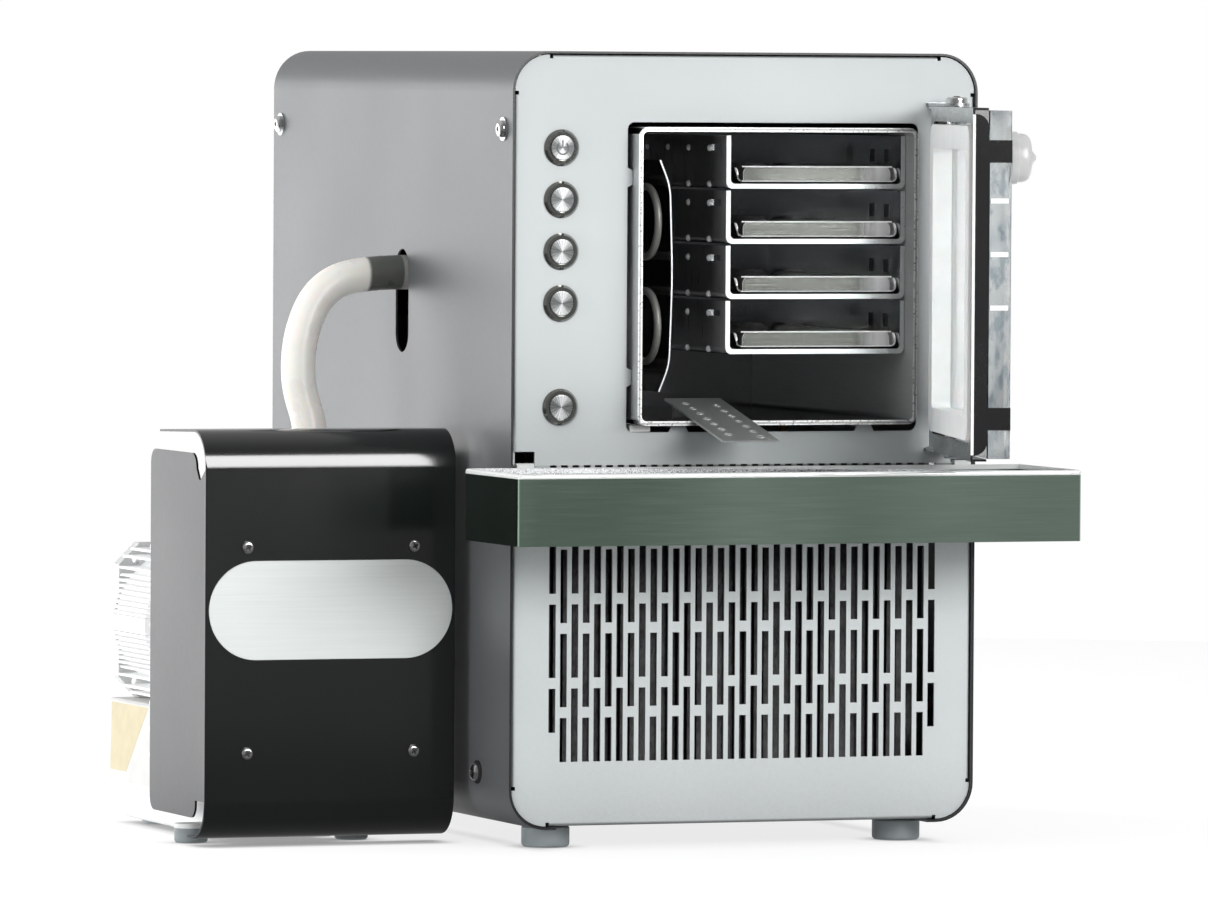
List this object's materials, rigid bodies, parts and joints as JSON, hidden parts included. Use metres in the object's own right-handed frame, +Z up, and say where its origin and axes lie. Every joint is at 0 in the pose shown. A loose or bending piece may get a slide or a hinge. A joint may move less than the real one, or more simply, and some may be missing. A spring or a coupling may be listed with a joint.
{
  "type": "freeze dryer",
  "caption": "Bench freeze dryer: upright cabinet with a square steel vacuum chamber and shelf trays, hinged clear door, drip tray, push buttons and a covered vacuum pump joined by a hose.",
  "frame": {"origin": "on the floor, at the centre of the whole outfit's footprint as it stands with the door open, measured without the hose", "axes": "+X to the right of someone facing the cabinet, +Y from its front to its back, +Z up"},
  "size_m": [0.566, 0.7663, 0.543],
  "materials": {
    "black_coat": "gloss black paint",
    "satin_panel": "satin light grey",
    "door_coat": "gloss black paint",
    "zinc_sheet": "plain folded sheet",
    "chamber_steel": "polished stainless",
    "rack_steel": "polished stainless",
    "tray_steel": "brushed stainless",
    "coil_tube": "matt pale tube",
    "ramp_steel": "brushed stainless",
    "drip_steel": "brushed stainless",
    "fastener_steel": "plain steel",
    "rubber": "matt black rubber",
    "clear_pane": "clear acrylic",
    "white_silicone": "white silicone",
    "knob_steel": "turned steel",
    "button_steel": "turned steel",
    "board_green": "circuit board",
    "fin_metal": "plain fins",
    "black_plastic": "matt black",
    "black_can": "satin black",
    "copper_line": "copper tube",
    "supply_case": "plain case",
    "hose_rubber": "translucent rubber",
    "badge_plate": "brushed plate",
    "cast_white": "painted casting",
    "brass_fitting": "turned brass",
    "white_motor": "white paint",
    "grey_feet": "grey rubber"
  },
  "bodies": {
    "cabinet": {"cabinet_sleeve": "black_coat", "back_panel": "black_coat", "pump_cover": "black_coat", "front_panel": "satin_panel", "base_plate": "zinc_sheet", "chamber_stand": "zinc_sheet", "cover_bracket": "zinc_sheet", "fan_shroud": "zinc_sheet", "vacuum_chamber": "chamber_steel", "coil_shield": "chamber_steel", "vacuum_port": "chamber_steel", "ramp_guide": "chamber_steel", "tray_rack": "rack_steel", "shelf_tray_1": "tray_steel", "shelf_tray_2": "tray_steel", "shelf_tray_3": "tray_steel", "shelf_tray_4": "tray_steel", "ice_coil": "coil_tube", "drip_tray": "drip_steel", "side_screws": "fastener_steel", "cover_screws": "fastener_steel", "pivot_screws": "fastener_steel", "hinge_brackets": "fastener_steel", "hose_clamp": "fastener_steel", "rubber_washers": "rubber", "compressor_mounts": "rubber", "heater_mats": "rubber", "button_bezels": "button_steel", "control_board": "board_green", "condenser_core": "fin_metal", "fan_motor": "black_plastic", "oil_filler_cap": "black_plastic", "power_inlets": "black_plastic", "compressor": "black_can", "refrigerant_lines": "copper_line", "filter_drier": "copper_line", "power_supply": "supply_case", "vacuum_hose": "hose_rubber", "cover_badge": "badge_plate", "pump_base": "cast_white", "oil_case": "cast_white", "motor_shields": "cast_white", "pump_fittings": "brass_fitting", "motor_housing": "white_motor", "fan_cowl": "white_motor", "pump_control_box": "white_motor", "cabinet_feet": "grey_feet", "pump_feet": "grey_feet"},
    "door": {"door_frame": "door_coat", "door_pane": "clear_pane", "door_seal": "white_silicone", "door_knob": "knob_steel"},
    "ramp": {"drain_ramp": "ramp_steel"},
    "cooling_fan": {"condenser_fan": "black_plastic"},
    "pump_fan": {"motor_fan": "black_plastic"},
    "button_1": {"button_cap_1": "button_steel"},
    "button_2": {"button_cap_2": "button_steel"},
    "button_3": {"button_cap_3": "button_steel"},
    "button_4": {"button_cap_4": "button_steel"},
    "button_5": {"button_cap_5": "button_steel"}
  },
  "joints": [
    {"name": "door_hinge", "type": "hinge", "parent": "cabinet", "child": "door", "pos_m": [0.2213, -0.15835, 0.39], "axis": [0, 0, 1], "range_deg": [-75, 40]},
    {"name": "ramp_slide", "type": "slide", "parent": "cabinet", "child": "ramp", "axis": [0, -0.9763, -0.2164], "range_m": [-0.0615, 0.033]},
    {"name": "button_press_1", "type": "slide", "parent": "cabinet", "child": "button_1", "axis": [0, 1, 0], "range_m": [0, 0.0015], "stiffness_N_per_m": 1500},
    {"name": "button_press_2", "type": "slide", "parent": "cabinet", "child": "button_2", "axis": [0, 1, 0], "range_m": [0, 0.0015], "stiffness_N_per_m": 1500},
    {"name": "button_press_3", "type": "slide", "parent": "cabinet", "child": "button_3", "axis": [0, 1, 0], "range_m": [0, 0.0015], "stiffness_N_per_m": 1500},
    {"name": "button_press_4", "type": "slide", "parent": "cabinet", "child": "button_4", "axis": [0, 1, 0], "range_m": [0, 0.0015], "stiffness_N_per_m": 1500},
    {"name": "button_press_5", "type": "slide", "parent": "cabinet", "child": "button_5", "axis": [0, 1, 0], "range_m": [0, 0.0015], "stiffness_N_per_m": 1500},
    {"name": "cooling_fan_spin", "type": "hinge", "parent": "cabinet", "child": "cooling_fan", "pos_m": [0.0795, -0.06785, 0.161], "axis": [0, 1, 0], "continuous": true},
    {"name": "pump_fan_spin", "type": "hinge", "parent": "cabinet", "child": "pump_fan", "pos_m": [-0.2135, 0.22715, 0.142], "axis": [0, 1, 0], "continuous": true}
  ],
  "couplings": [
    {"joint": "ramp_slide", "follows": "door_hinge", "m_per_rad": 0.0466}
  ]
}
